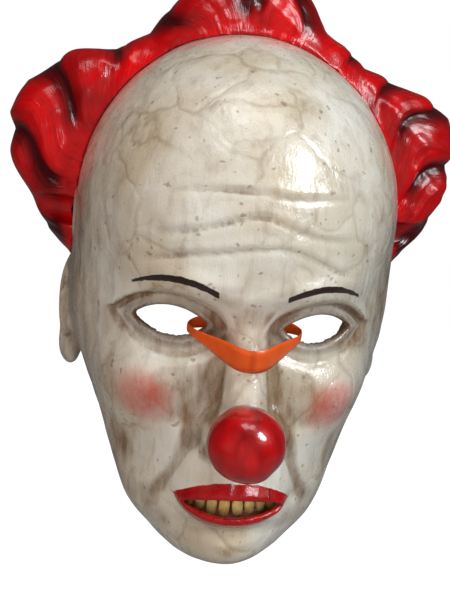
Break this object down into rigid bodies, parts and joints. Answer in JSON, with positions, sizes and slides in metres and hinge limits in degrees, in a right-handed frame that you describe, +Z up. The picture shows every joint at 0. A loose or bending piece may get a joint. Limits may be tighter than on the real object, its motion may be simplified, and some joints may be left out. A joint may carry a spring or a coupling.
{
  "type": "latex clown mask",
  "caption": "Latex clown face mask with sculpted red hair, a round red nose, bared teeth, open eyes and a riveted elastic head strap.",
  "frame": {"origin": "midway between the two temple rivets, on the axis the strap swings about", "axes": "+Z up towards the crown, -Y out through the face, +X towards the wearer's left"},
  "size_m": [0.25, 0.2161, 0.3163],
  "materials": {
    "ivory_latex": "gloss",
    "red_latex": "gloss",
    "gloss_red_latex": "gloss",
    "gum_latex": "satin",
    "tooth_resin": "gloss",
    "dark_steel": "satin",
    "bright_steel": "satin",
    "cotton_tape": "matte",
    "woven_elastic": "matte",
    "grey_foam": "matte",
    "orange_vinyl": "gloss"
  },
  "bodies": {
    "mask": {"face_shell": "ivory_latex", "crown_hair": "red_latex", "left_hair_tuft": "red_latex", "right_hair_tuft": "red_latex", "nose_ball": "gloss_red_latex", "gum_plate": "gum_latex", "upper_teeth": "tooth_resin", "lower_teeth": "tooth_resin", "left_rivet": "dark_steel", "right_rivet": "dark_steel", "left_rivet_washer": "bright_steel", "right_rivet_washer": "bright_steel", "left_temple_patch": "cotton_tape", "right_temple_patch": "cotton_tape", "forehead_pad": "grey_foam", "left_cheek_pad": "grey_foam", "right_cheek_pad": "grey_foam"},
    "strap": {"elastic_strap": "woven_elastic"},
    "band": {"hang_band": "orange_vinyl", "band_staple": "bright_steel"}
  },
  "joints": [
    {"name": "strap_swing", "type": "hinge", "parent": "mask", "child": "strap", "pos_m": [0, 0, 0], "axis": [1, 0, 0], "range_deg": [-40, 50]},
    {"name": "band_rock", "type": "hinge", "parent": "mask", "child": "band", "pos_m": [0, -0.104, -0.043], "axis": [1, 0, 0], "range_deg": [0, 6]}
  ]
}
